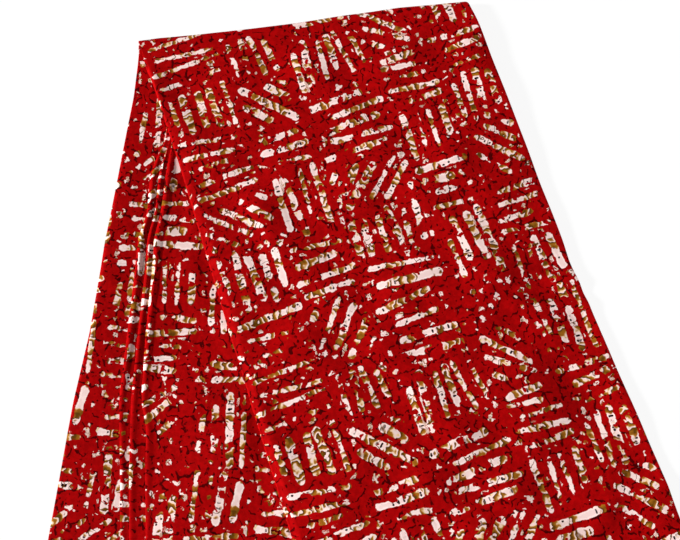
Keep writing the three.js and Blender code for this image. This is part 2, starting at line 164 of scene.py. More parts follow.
# ---- The print's repeat, charted in five columns of blocks, in millimetres. A column has its
# width, how much lower it starts, and its blocks: bars across the cloth (H), along it (V), on
# the two diagonals (D, A) or scraps alone (a dot), the block's height, and how many degrees
# its bars fan out ----
PRINT_COLUMNS = (
    (66, 0,
     (("H", 56, 6), ("V", 44, 0), ("H", 62, -8), ("D", 46, 10), ("V", 54, -12), ("H", 48, 0))),
    (50, 17,
     (("V", 50, 10), ("D", 46, 0), ("H", 40, 5), ("V", 62, -14), ("H", 58, 0), ("A", 54, 12))),
    (74, -9,
     (("H", 48, 0), ("V", 58, 14), ("H", 68, 4), ("A", 42, 0), ("V", 46, 0), ("H", 48, -6))),
    (52, 26,
     (("D", 48, -10), ("H", 62, 0), ("V", 44, 8), ("H", 54, -7), ("V", 60, 0), (".", 42, 0))),
    (50, 8,
     (("V", 60, -10), ("H", 46, 6), ("V", 50, 0), ("D", 56, 14), ("H", 52, 0), ("V", 46, 8))),
)
CHART_SIZE = (292, 310)
BAR_TURNS = {"H": 0, "V": 90, "D": 42, "A": -48}
BAR_PITCH = 12.4
BLOCK_MARGIN = 2.5
TURN_PLAY = 6  # degrees by which a bar may turn from its block's way
PLACE_PLAY = 1.8  # and how far it may lie out of its row
SHORTEST_BAR = 12
BAR_LENGTHS = (0.62, 1.12)  # as shares of the room in the block
BLOCK_WIDTHS = (0.85, 1.15)  # how broad a block's bars are as a whole
BAR_HALF_WIDTHS = (1.7, 3.3)
PRINT_SEED = 20

# Colours of the print that aren't a dye of their own.
PALE_COTTON = (1.0, 0.76, 0.71, 1)
PALE_GILT = (0.90, 0.64, 0.38)
PIN_HOLE = (0.012, 0.002, 0.003, 1)

# ---- The stage ----
# Light, how high it stands, how far its beam turns towards the hems from straight to the right,
# and how wide it is, all in degrees.
LIGHTS = (("key", 24, -8, 8), ("rim", 8, -6, 5), ("fill", 9, 170, 12))
LIGHT_PLACE = (-0.8, 0.1, 0.5)
FLOOR_HEIGHT = -0.0004
CAMERA_PLACE = (-0.0523, 0.0527, 0.7733)
CAMERA_TILT = 14
CAMERA_LENS = 50


class ClothSizes(bpy.types.PropertyGroup):
    """Sizes of the cloth and of its print."""

    band_width: bpy.props.FloatProperty(
        name="Band width", description="Width of the folded band, a quarter of the cloth's own",
        default=0.292, min=0.2, max=0.4, subtype="DISTANCE", unit="LENGTH")
    leg_length: bpy.props.FloatProperty(
        name="Leg length", description="From the crease to the hem along a leg's left edge",
        default=0.914, min=0.5, max=1.5, subtype="DISTANCE", unit="LENGTH")
    crease_height: bpy.props.FloatProperty(
        name="Crease height", description="How much of the charted soft creases shows",
        default=1.0, min=0.0, max=1.5, subtype="FACTOR")
    wave_height: bpy.props.FloatProperty(
        name="Wave height", description="Height of the long gentle waves in the cloth",
        default=0.00035, min=0.0, max=0.002, subtype="DISTANCE", unit="LENGTH")
    repeat_length: bpy.props.FloatProperty(
        name="Print repeat", description="Length after which the print repeats along the cloth",
        default=0.31, min=0.2, max=0.6, subtype="DISTANCE", unit="LENGTH")
    grid_step: bpy.props.FloatProperty(
        name="Grid step", description="Longest step between points where the cloth shows most",
        default=0.0026, min=0.002, max=0.01, subtype="DISTANCE", unit="LENGTH")


class ClothColours(bpy.types.PropertyGroup):
    """Colours of the dyes, and a darker ground that paints shade inside the fold."""

    ground: bpy.props.FloatVectorProperty(
        name="Ground", description="Red dye of the ground", subtype="COLOR", size=3,
        default=(0.36, 0.0012, 0.0018), min=0, max=1)
    # painted shade: the red ground made darker for the hidden plies inside the fold
    shaded_inner_ground: bpy.props.FloatVectorProperty(
        name="Inner ground", description="The same dye inside the fold", subtype="COLOR", size=3,
        default=(0.30, 0.0011, 0.0016), min=0, max=1)
    bare: bpy.props.FloatVectorProperty(
        name="Bare cotton", description="Undyed cotton inside the bars", subtype="COLOR", size=3,
        default=(0.90, 0.66, 0.62), min=0, max=1)
    gold: bpy.props.FloatVectorProperty(
        name="Gold", description="Gold of the marbling", subtype="COLOR", size=3,
        default=(0.40, 0.148, 0.012), min=0, max=1)
    brown: bpy.props.FloatVectorProperty(
        name="Brown", description="Dark edge of the marbling", subtype="COLOR", size=3,
        default=(0.12, 0.045, 0.004), min=0, max=1)
    crackle: bpy.props.FloatVectorProperty(
        name="Crackle", description="Dark dye in the cracks of the wax", subtype="COLOR", size=3,
        default=(0.035, 0.0003, 0.0006), min=0, max=1)


class StageSettings(bpy.types.PropertyGroup):
    """The plain table and its light."""

    floor_size: bpy.props.FloatProperty(
        name="Floor size", description="Side of the square floor", default=12.0, min=2.0, max=40.0,
        subtype="DISTANCE", unit="LENGTH")
    floor_colour: bpy.props.FloatVectorProperty(
        name="Floor colour", description="Colour of the plain floor", subtype="COLOR", size=3,
        default=(0.12, 0.12, 0.12), min=0, max=1)
    sky_strength: bpy.props.FloatProperty(
        name="Sky strength", description="Even light from all round", default=0.28, min=0, max=5)
    key_strength: bpy.props.FloatProperty(
        name="Key strength", description="Soft broad light from the left", default=4.1, min=0,
        max=20)
    rim_strength: bpy.props.FloatProperty(
        name="Rim strength", description="Low light from the left that catches the folds",
        default=3.0, min=0, max=20)
    fill_strength: bpy.props.FloatProperty(
        name="Fill strength", description="Weak low light from the right, for the edges there",
        default=1.0, min=0, max=20)


# ---- Shapes ----
def heading(degrees):
    """Unit vector so many degrees to the right of straight down the table."""
    turn = math.radians(degrees)
    return np.array([math.sin(turn), -math.cos(turn)])


CREASE_WAY = heading(CREASE_RISE + 90)
OFF_CREASE = heading(CREASE_RISE)
FRONT_WAY = heading(FRONT_LEAN)
FRONT_ACROSS = heading(FRONT_LEAN + 90)


def smoothstep(value, low, high):
    """Nought up to low, one from high, and an S curve between."""
    part = np.clip((value - low) / (high - low), 0, 1)
    return part * part * (3 - 2 * part)


def edge_at(table, column, place, blur=5.0):
    """Column of a table at a place: straight lines between rows, their corners eased by the
    mean over five places a blur apart."""
    near = [np.interp(place + blur * k, table[:, 0], table[:, column])
            for k in (-1, -0.5, 0, 0.5, 1)]
    return sum(near) / 5


def unit(vectors):
    """The vectors over their own lengths."""
    return vectors / np.maximum(np.linalg.norm(vectors, axis=-1, keepdims=True), 1e-9)


def soft_relief(x, y, creases, wave, seed):
    """Rise of the cloth at (x, y): a bell of the distance to each crease's line, its height
    uneven along it, plus six long slow waves in seeded directions."""
    rise = np.zeros_like(x)
    rng = np.random.default_rng(seed)
    for x0, y0, x1, y1, half_width, height in creases:
        way = np.array([x1 - x0, y1 - y0])
        length = np.hypot(*way)
        share = ((x - x0) * way[0] + (y - y0) * way[1]) / length**2
        held = np.clip(share, 0, 1)
        gap = np.hypot(x - x0 - held * way[0], y - y0 - held * way[1])
        phase = rng.uniform(0, 2 * np.pi)
        uneven = 0.8 + 0.2 * np.sin(held * length / 13 + phase)
        rise += height * uneven * np.exp(-((gap / half_width) ** 2))
    for _ in range(6):
        turn, size, phase = rng.uniform(0, np.pi), rng.uniform(38, 120), rng.uniform(0, 2 * np.pi)
        rise += wave * np.sin(2 * np.pi * (x * np.cos(turn) + y * np.sin(turn)) / size + phase)
    return rise


def print_bars(band, repeat):
    """The repeat's bars as rows of centre, direction, half length, half width and seed. Each
    block of the chart has bars side by side, cut off at its border, a little uneven in place,
    turn, length and width, and turning further from one side of the block to the other."""
    rng = np.random.default_rng(PRINT_SEED)
    scale = np.array([band / CHART_SIZE[0], repeat / CHART_SIZE[1]])
    bars = []
    left = 0
    for width, shift, blocks in PRINT_COLUMNS:
        top = shift
        for kind, height, fan in blocks:
            box = np.array([width, height]) / 2 - BLOCK_MARGIN
            plain = math.radians(BAR_TURNS.get(kind, 0))
            span = 2 * (box[0] * abs(math.sin(plain)) + box[1] * abs(math.cos(plain)))
            count = 0 if kind == "." else round(span / BAR_PITCH)
            full = rng.uniform(*BLOCK_WIDTHS)
            for k in range(count):
                share = (k + 0.5) / count - 0.5
                turn = plain + math.radians(fan * share + rng.uniform(-TURN_PLAY, TURN_PLAY))
                way = np.array([math.cos(turn), math.sin(turn)])
                aside = share * span + rng.uniform(-PLACE_PLAY, PLACE_PLAY)
                place = np.array([-math.sin(plain), math.cos(plain)]) * aside
                ends = np.sort([(-box - place) / way, (box - place) / way], axis=0)
                start, end = ends[0].max(), ends[1].min()
                if end - start > SHORTEST_BAR:
                    part = rng.uniform(*BAR_LENGTHS)
                    slide = (1 - min(part, 1)) * rng.uniform(-1, 1) * (end - start) / 2
                    middle = (start + end) / 2 + slide
                    centre = (left, top) + box + BLOCK_MARGIN + place + way * middle
                    reach = (end - start) / 2 * part
                    half_width = full * rng.uniform(*BAR_HALF_WIDTHS)
                    bars.append([*centre * scale, *way, reach, half_width, rng.uniform(0, 1)])
            top += height
        left += width
    return np.array(bars)


def chart_print(cloth, band, repeat):
    """For places on the unfolded cloth: distance to the nearest bar's outline, below nought
    inside it, how far along that bar the place is, and the bar's seed. The outline is a box
    with fully rounded ends, and the nearest copy of a bar in the repeat counts."""
    nearest = np.full(len(cloth), 1e9)
    along = np.zeros(len(cloth))
    seed = np.zeros(len(cloth))
    for x, y, way_x, way_y, reach, half_width, bar_seed in print_bars(band, repeat):
        gap_x = (cloth[:, 0] - x + band / 2) % band - band / 2
        gap_y = (cloth[:, 1] - y + repeat / 2) % repeat - repeat / 2
        place = gap_x * way_x + gap_y * way_y
        aside = gap_y * way_x - gap_x * way_y
        past = np.maximum(np.abs(place) - (reach - 0.7 * half_width), 0)
        distance = np.hypot(past, aside) - half_width
        closer = distance < nearest
        nearest = np.where(closer, distance, nearest)
        along = np.where(closer, place, along)
        seed = np.where(closer, bar_seed, seed)
    return np.stack([nearest, along, seed], axis=1)


def slab(top, bottom, cloth, rims):
    """Closed sheet between two grids of points. Each rim is a ring round the grids' border: a
    share of the way up from the bottom to the top, moved outwards by four distances, at the
    first and last column and the first and last row. Returns points, places on the unfolded
    cloth and four-sided faces that look outwards."""
    rows, columns = top.shape[:2]
    number = np.arange(rows * columns).reshape(rows, columns)
    loop = np.concatenate([number[0], number[1:, -1], number[-1, -2::-1], number[-2:0:-1, 0]])
    middle = (top + bottom) / 2
    rings = []
    for up, left, right, first, last in rims:
        ring = bottom + (top - bottom) * up
        ring[:, 0] += unit(middle[:, 0] - middle[:, 1]) * np.reshape(left, (-1, 1))
        ring[:, -1] += unit(middle[:, -1] - middle[:, -2]) * np.reshape(right, (-1, 1))
        ring[0] += unit(middle[0] - middle[1]) * first
        ring[-1] += unit(middle[-1] - middle[-2]) * last
        rings.append(ring.reshape(-1, 3)[loop])
    points = np.concatenate([top.reshape(-1, 3), bottom.reshape(-1, 3), *rings])
    flat = cloth.reshape(-1, 2)
    places = np.concatenate([flat, flat, *[flat[loop]] * len(rings)])
    size = rows * columns
    around = [loop, *[2 * size + k * len(loop) + np.arange(len(loop)) for k in range(len(rings))],
              loop + size]
    upper = np.stack([number[:-1, :-1], number[:-1, 1:], number[1:, 1:], number[1:, :-1]], -1)
    faces = [upper.reshape(-1, 4), upper.reshape(-1, 4)[:, ::-1] + size]
    for high, low in zip(around, around[1:]):
        faces.append(np.stack([np.roll(high, -1), high, low, np.roll(low, -1)], -1))
    faces = np.concatenate(faces)
    corner = points[faces]
    volume = np.einsum("ij,ij->", corner[:, 0], np.cross(corner[:, 1], corner[:, 2]))
    volume += np.einsum("ij,ij->", corner[:, 0], np.cross(corner[:, 2], corner[:, 3]))
    return points, places, faces if volume > 0 else faces[:, ::-1]


def cloth_object(name, shape, sizes, material):
    """The sheet as a Blender object that stands for its node. Its UV map is the unfolded
    cloth in metres, and the attribute `bar` holds the charted print at each point."""
    points, places, faces = shape
    mesh = bpy.data.meshes.new(name)
    mesh.vertices.add(len(points))
    mesh.vertices.foreach_set("co", (points * MM).astype(np.float32).ravel())
    mesh.loops.add(faces.size)
    mesh.loops.foreach_set("vertex_index", faces.astype(np.int32).ravel())
    mesh.polygons.add(len(faces))
    mesh.polygons.foreach_set("loop_start", np.arange(0, faces.size, 4, dtype=np.int32))
    mesh.polygons.foreach_set("use_smooth", np.ones(len(faces), dtype=bool))
    uv_map = mesh.uv_layers.new(name="cloth")
    uv_map.data.foreach_set("uv", (places[faces.ravel()] * MM).astype(np.float32).ravel())
    bars = chart_print(places, sizes.band_width / MM, sizes.repeat_length / MM)
    mesh.attributes.new("bar", "FLOAT_VECTOR", "POINT").data.foreach_set(
        "vector", bars.astype(np.float32).ravel())
    mesh.update(calc_edges=True)
    mesh.validate()
    piece = bpy.data.objects.new(name, mesh)
    bpy.context.scene.collection.objects.link(piece)
    mesh.materials.append(material)
    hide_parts(name.removesuffix("_cloth"))
    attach(piece, "root")
    return piece


def past_edge(plan, lean, band):
    """How far a place lies to the right of the line that leaves the crease's right end."""
    crease_end = CREASE_CORNER + CREASE_WAY * band / math.cos(SKEW)
    return (plan - crease_end) @ heading(lean + 90)


def sag_at(plan, band):
    """How much lower a ply lies past the bottom ply's right edge."""
    past = past_edge(plan, OUTER_EDGE_LEAN, band) - EDGE_CLEARANCE
    return PLY_STEP * np.clip(past / SAG_RUN, 0, 1)


def front_base(plan, band):
    """Height of the front leg's underside: level on the back leg, then down past its edge."""
    past = past_edge(plan, INNER_EDGE_LEAN, band)
    fallen = smoothstep(past, EDGE_CLEARANCE, EDGE_CLEARANCE + DRAPE_RUN)
    return PLY_STEP - sag_at(plan, band) + 3 * PLY_STEP * (1 - fallen)


class FrontLeg:
    """Carries places of the unfolded front leg to the table and round the crease."""

    def __init__(self, sizes):
        self.band = sizes.band_width / MM
        self.length = sizes.leg_length / MM
        self.wave = sizes.wave_height / MM
        self.creases = [(*c[:5], c[5] * sizes.crease_height) for c in FRONT_CREASES]

    def plan(self, across, share):
        """Place on the table and place on the unfolded cloth, `across` from the left edge and
        `share` of the way from the skewed crease to the square hem."""
        left = edge_at(FRONT_EDGES, 1, share * self.length)
        right = edge_at(FRONT_EDGES, 2, share * (self.length - self.band * math.tan(SKEW)))
        place = across + left + (right - left) * np.clip(across / self.band, 0, 1)
        down = place * math.tan(SKEW) * (1 - share) + self.length * share
        table = CREASE_CORNER + FRONT_ACROSS * place[..., None] + FRONT_WAY * down[..., None]
        return table, np.stack([across, down], -1)

    def points(self, across, height, share):
        """Points of the leg: its base's height, plus the height in the leg, which the relief
        stretches, so that the plies keep their order."""
        table, _ = self.plan(across, share)
        level, cloth = self.plan(np.maximum(across, ROLL_RADIUS), share)
        relief = soft_relief(cloth[..., 0], cloth[..., 1], self.creases, self.wave,
                             FRONT_WAVE_SEED)
        fallen = 1 - smoothstep(cloth[..., 0], *EDGE_FALL_ACROSS)
        fallen = fallen * smoothstep(cloth[..., 1], *EDGE_FALL_DOWN)
        relief -= EDGE_FALL * fallen
        relief *= smoothstep(cloth[..., 1] - cloth[..., 0] * math.tan(SKEW), 0, RELIEF_START)
        rise = front_base(level, self.band) + height * (1 + relief / LEG_THICKNESS)
        return np.concatenate([table, rise[..., None]], -1)

    def turned(self, across, height, angle):
        """Points carried round the crease by an angle: a circle about the fold's axis, with a
        slip along the crease that keeps the threads straight."""
        start, _ = self.plan(across * (1 - CORNER_ROUND / self.band * np.sin(angle) ** 2),
                             np.zeros_like(across))
        radius = PLY_GAP / 2 + height
        slip = -angle * radius * math.tan(SKEW)
        out = (radius - np.interp(across, CREASE_BENDS[:, 0], CREASE_BENDS[:, 1])) * np.sin(angle)
        table = start + CREASE_WAY * slip[..., None] - OFF_CREASE * out[..., None]
        rise = FOLD_AXIS_HEIGHT + radius * np.cos(angle)
        return np.concatenate([table, rise[..., None]], -1)

    def sheet(self, across, height, shares, angles):
        """Grid of points over the leg and round the crease, from a function of the row's share
        that gives the section's places across and heights."""
        share = np.broadcast_to(shares[:, None], across.shape)
        leg = self.points(across, height, share)
        angle = np.broadcast_to(angles[:, None], (len(angles), across.shape[1]))
        bend = self.turned(np.broadcast_to(across[-1], angle.shape),
                           np.broadcast_to(height[-1], angle.shape), angle)
        return np.concatenate([leg, bend])

    def unfolded(self, across, depth, shares, angles):
        """Places on the unfolded cloth for the same grid, where a turn round the crease goes on
        backwards along the cloth by the arc at that depth."""
        _, leg = self.plan(across, np.broadcast_to(shares[:, None], across.shape))
        start = np.broadcast_to(leg[-1], (len(angles), *leg[-1].shape)).copy()
        start[..., 1] -= angles[:, None] * depth / math.cos(SKEW)
        return np.concatenate([leg, start])


def spaced(stops):
    """Places from the first stop to the last, with even steps between each two of no more
    than the second one's own step."""
    parts = [np.array([stops[0][0]])]
    for (start, _), (end, step) in zip(stops, stops[1:]):
        parts.append(np.linspace(start, end, max(1, math.ceil((end - start) / step)) + 1)[1:])
    return np.concatenate(parts)


def front_outer_shape(sizes):
    """Outer ply: a roll of 160 degrees under the left edge, grown from flat near the crease,
    then the level face, half a ply thick to each side of its middle."""
    leg = FrontLeg(sizes)
    step = sizes.grid_step / MM
    places = spaced([(0, 0), (ROLL_FULL, step), (SHOWN_LENGTH, step), (leg.length, 1.45 * step)])
    shares = places[::-1] / leg.length
    angles = np.linspace(0, math.pi, 15)[1:]
    part = np.linspace(1, 0, 10)[:-1]
    rolled = smoothstep(shares * leg.length, ROLL_START, ROLL_FULL)[:, None]
    bend = np.maximum(rolled, 1e-3) / ROLL_MIDDLE
    roll_length = ROLL_LENGTH * (ROLL_OPEN + (1 - ROLL_OPEN) * rolled)
    angle = part * roll_length * bend
    flat = spaced([(ROLL_RADIUS, 0), (leg.band, step)])
    face_height = LEG_THICKNESS - PLY_WALL / 2
    level = np.broadcast_to(flat, (len(shares), len(flat)))
    across = np.concatenate([ROLL_RADIUS - np.sin(angle) / bend, level], 1)
    height = np.concatenate([face_height - (1 - np.cos(angle)) / bend,
                             np.full_like(level, face_height)], 1)
    out = np.concatenate([np.stack([-np.sin(angle), np.cos(angle)], -1),
                          np.broadcast_to([0.0, 1.0], (*level.shape, 2))], 1) * PLY_WALL / 2
    top = leg.sheet(across + out[..., 0], height + out[..., 1], shares, angles)
    bottom = leg.sheet(across - out[..., 0], height - out[..., 1], shares, angles)
    unrolled = np.concatenate([ROLL_RADIUS - part * roll_length, level], 1)
    cloth = leg.unfolded(unrolled, face_height, shares, angles)
    return slab(top, bottom, cloth, two_layers(PLY_WALL, last=0))


def two_layers(wall, left=1.0, right=1.0, first=1.0, last=1.0):
    """Rims of a ply of two layers: two rounded lobes with a groove between them, each side
    pushed out by its own share of a third of the ply's thickness."""
    profile = ((0.93, 0.6), (0.78, 1.0), (0.62, 0.85), (0.5, 0.35), (0.38, 0.85), (0.22, 1.0),
               (0.07, 0.6))
    reach = wall / 3
    return [(up, out * reach * left, out * reach * right, out * reach * first, out * reach * last)
            for up, out in profile]


def front_hidden_shape(sizes):
    """The three hidden plies as one sheet: level faces, and round its sides and hem two lobes
    for each ply, with shallow grooves between layers and deeper ones between plies."""
    leg = FrontLeg(sizes)
    inner = [max(ply[side] for ply in HIDDEN_PLIES) + GROOVE_DEPTH for side in range(3)]
    step = sizes.grid_step / MM
    places = spaced([(0, 0), (SHOWN_LENGTH, step), (leg.length - inner[2], 1.45 * step)])
    shares = places[::-1] / leg.length
    angles = np.linspace(0, math.pi, 11)[1:]
    flat = spaced([(inner[0], 0), (leg.band - inner[1], 3 * step)])
    across = np.broadcast_to(flat, (len(shares), len(flat)))
    top = leg.sheet(across, np.full_like(across, HIDDEN_THICKNESS), shares, angles)
    bottom = leg.sheet(across, np.zeros_like(across), shares, angles)
    rims = []
    for k in (2, 1, 0):
        nose = [inner[side] - HIDDEN_PLIES[k][side] for side in range(3)]
        for up, share in ((0.93, 0.65), (0.75, 1.0), (0.5, 0.8), (0.25, 1.0), (0.07, 0.65)):
            rims.append(((k + up) / 3, nose[0] * share, nose[1] * share, nose[2] * share, 0.0))
        if k:
            pair = HIDDEN_PLIES[k - 1:k + 1]
            under = [inner[side] - GROOVE_DEPTH - max(ply[side] for ply in pair)
                     for side in range(3)]
            rims.append((k / 3, *under, 0.0))
    cloth = leg.unfolded(across + HIDDEN_MAP_START, HIDDEN_THICKNESS / 2, shares, angles)
    return slab(top, bottom, cloth, rims)


def back_ply_shape(sizes, column, level, outset, end_down, fine_step, coarse_step):
    """A back ply: rows from its left edge to its right edge, a flat slab with a puffed bead
    along the left fold. The bead is a quarter of an ellipse up to its crown, which is nearer the
    edge where the fold lies flat. From there it falls steeply back to the ply's own thickness,
    or gently over the whole panel that shows on the bottom ply.
    The relief stretches the whole leg upwards."""
    band = sizes.band_width / MM
    is_bottom = level == 0
    right_way = heading(OUTER_EDGE_LEAN if is_bottom else INNER_EDGE_LEAN)
    first_row = CREASE_CORNER + OFF_CREASE * PLY_GAP
    crease_end = CREASE_CORNER + CREASE_WAY * band / math.cos(SKEW)
    right_start = crease_end + OFF_CREASE * PLY_GAP + CREASE_WAY * outset
    end_right = CREASE_CORNER[1] - end_down + band * right_way[0]
    right_length = (right_start[1] - end_right) / -right_way[1]
    step = sizes.grid_step / MM
    places = spaced([(0, 0), (SHOWN_LENGTH, step), (end_down, 1.5 * step)])
    share = places / end_down
    start_down = -BACK_EDGES[0, column] * math.tan(math.radians(CREASE_RISE))
    offset = edge_at(BACK_EDGES, column, places)
    left = first_row + np.stack([offset, -(start_down + (end_down - start_down) * share)], 1)
    narrowed = 1 - smoothstep(places, 0, CORNER_RUN)
    right = right_start + right_way * (share * right_length)[:, None]
    right = right - CREASE_WAY * ((outset + CORNER_INSET) * narrowed)[:, None]
    width = np.linalg.norm(right - left, axis=1)[:, None]
    way = unit(right - left)
    room = (edge_at(BACK_EDGES, column + 1, places) - offset if column < 4
            else np.full_like(offset, TOP_PLY_ROOM))
    bead = np.clip(0.85 * room - 0.5, 0.4, BEAD_WIDTH)[:, None]
    fullness = edge_at(BACK_EDGES, 5, places)[:, None]
    puff = fullness ** 0.6 * (BOTTOM_PUFF if is_bottom else 1)
    high = PLY_WALL + puff * BEAD_RISE * bead / BEAD_WIDTH
    crown = BEAD_CROWN * (FLAT_CROWN + (1 - FLAT_CROWN) * fullness)
    on_bead = np.array([0.14, 0.24, 0.36, 0.48, 0.6, 0.7, 0.8, 0.9, 1.0]) * bead
    visible = spaced([(0, 0), (0.45, fine_step / STANDARD_BAND),
                      (1, coarse_step / STANDARD_BAND)])[1:]
    across = np.concatenate([on_bead, bead + (width - bead) * visible], 1)
    side = across / bead
    rising = high * np.sqrt(1 - (1 - np.minimum(side / crown, 1)) ** 2)
    eased = 1 - smoothstep(side, crown, room[:, None] / bead if is_bottom else 1.0)
    thick = np.where(side < crown, rising, PLY_WALL + (high - PLY_WALL) * eased)
    plan = left[:, None] + way[:, None] * across[..., None]
    base = level * PLY_STEP - (0 if is_bottom else sag_at(plan, band))
    top = np.concatenate([plan, (base + thick)[..., None]], -1)
    bottom = np.concatenate([plan, np.broadcast_to(base, thick.shape)[..., None]], -1)
    creases = [(*c[:5], c[5] * sizes.crease_height) for c in BACK_CREASES]
    for grid in (top, bottom):
        relief = soft_relief(grid[..., 0], grid[..., 1], creases, sizes.wave_height / MM,
                             BACK_WAVE_SEED)
        uncovered = smoothstep((grid[..., :2] - CREASE_CORNER) @ -FRONT_ACROSS, 2, 16)
        grid[..., 2] *= 1 + relief * uncovered / LEG_THICKNESS
    lean = heading(BOTTOM_PLY_LEAN if is_bottom else BACK_LEAN)
    aside = np.array([-lean[1], lean[0]])
    arc = math.pi * FOLD_AXIS_HEIGHT / 2
    start = 0 if is_bottom else MAP_START + MAP_STEP_ACROSS * level
    cloth = np.stack([(plan - CREASE_CORNER) @ aside - start,
                      -((plan - CREASE_CORNER) @ lean) - arc + MAP_STEP_DOWN * level], -1)
    round_left = (NOSE_SHARE * bead).ravel()
    nose = ((0.93, 0.55), (0.8, 0.8), (0.65, 0.96), (0.5, 1.0), (0.36, 0.96), (0.2, 0.75),
            (0.07, 0.4))
    rims = [(up, out * round_left, right_out, 0.0, last_out)
            for (up, out), (_, _, right_out, _, last_out) in zip(nose, two_layers(PLY_WALL))]
    return slab(top, bottom, cloth, rims)


# ---- Finishes ----
class Value:
    """A number socket in an expression: each operator adds its Math node."""

    def __init__(self, finish, socket):
        self.finish = finish
        self.socket = socket

    def __add__(self, other):
        return self.finish.math("ADD", self, other)

    def __sub__(self, other):
        return self.finish.math("SUBTRACT", self, other)

    def __rsub__(self, other):
        return self.finish.math("SUBTRACT", other, self)

    def __mul__(self, other):
        return self.finish.math("MULTIPLY", self, other)

    def __truediv__(self, other):
        return self.finish.math("DIVIDE", self, other)

    def __mod__(self, other):
        return self.finish.math("FLOORED_MODULO", self, other)

    def __abs__(self):
        return self.finish.math("ABSOLUTE", self)

    __radd__ = __add__
    __rmul__ = __mul__

    def least(self, other):
        """The lesser of two values."""
        return self.finish.math("MINIMUM", self, other)

    def most(self, other):
        """The greater of two values."""
        return self.finish.math("MAXIMUM", self, other)

    def step(self, low, high):
        """Nought at low, one at high, and an S curve between; low may be the greater."""
        node = self.finish.node("ShaderNodeMapRange", {"interpolation_type": "SMOOTHSTEP"},
                                {"Value": self, "From Min": low, "From Max": high})
        return Value(self.finish, node.outputs["Result"])


class Finish:
    """A material under way."""

    def __init__(self, name):
        self.material = bpy.data.materials.new(name)
        self.material.use_nodes = True
        self.tree = self.material.node_tree
        self.tree.nodes.clear()

    def node(self, kind, settings=None, values=()):
        """Adds a node: first its settings, with a ramp's stops, then its sockets' values or
        links, by number or name."""
        node = self.tree.nodes.new(kind)
        for key, setting in (settings or {}).items():
            if key == "stops":
                ramp = node.color_ramp.elements
                while len(ramp) < len(setting):
                    ramp.new(1.0)
                for element, (place, colour) in zip(ramp, setting):
                    element.position = place
                    element.color = (*colour, 1.0)
            else:
                setattr(node, key, setting)
        for key, value in values.items() if isinstance(values, dict) else enumerate(values):
            value = value.socket if isinstance(value, Value) else value
            if isinstance(value, bpy.types.NodeSocket):
                self.tree.links.new(value, node.inputs[key])
            else:
                node.inputs[key].default_value = value
        return node

    def math(self, operation, *values):
        """A Math node of one or two values."""
        node = self.node("ShaderNodeMath", {"operation": operation}, values)
        return Value(self, node.outputs[0])

    def noise(self, place, size, detail=2.0, roughness=0.5):
        """Cloudy noise whose lumps are about `size` across, mostly from 0.25 to 0.75."""
        node = self.node("ShaderNodeTexNoise", {"noise_dimensions": "2D"}, {
            "Vector": place, "Scale": 1 / size, "Detail": detail, "Roughness": roughness})
        return Value(self, node.outputs[0])

    def cells(self, place, size, feature="F1"):
        """Voronoi cells about `size` across: the distance in the place's own unit, and three
        random numbers for each cell."""
        node = self.node("ShaderNodeTexVoronoi", {"voronoi_dimensions": "2D", "feature": feature},
                         {"Vector": place, "Scale": 1 / size})
        distance = Value(self, node.outputs["Distance"]) * size
        if feature != "F1":
            return distance, None
        parts = self.node("ShaderNodeSeparateColor", {}, [node.outputs["Color"]])
        return distance, [Value(self, parts.outputs[k]) for k in range(3)]

    def blend(self, share, first, second):
        """One colour over another by a share."""
        node = self.node("ShaderNodeMix", {"data_type": "RGBA"}, {0: share, 6: first, 7: second})
        return node.outputs[2]

    def vector(self, operation, *values):
        """A Vector Math node."""
        return self.node("ShaderNodeVectorMath", {"operation": operation}, values).outputs[0]


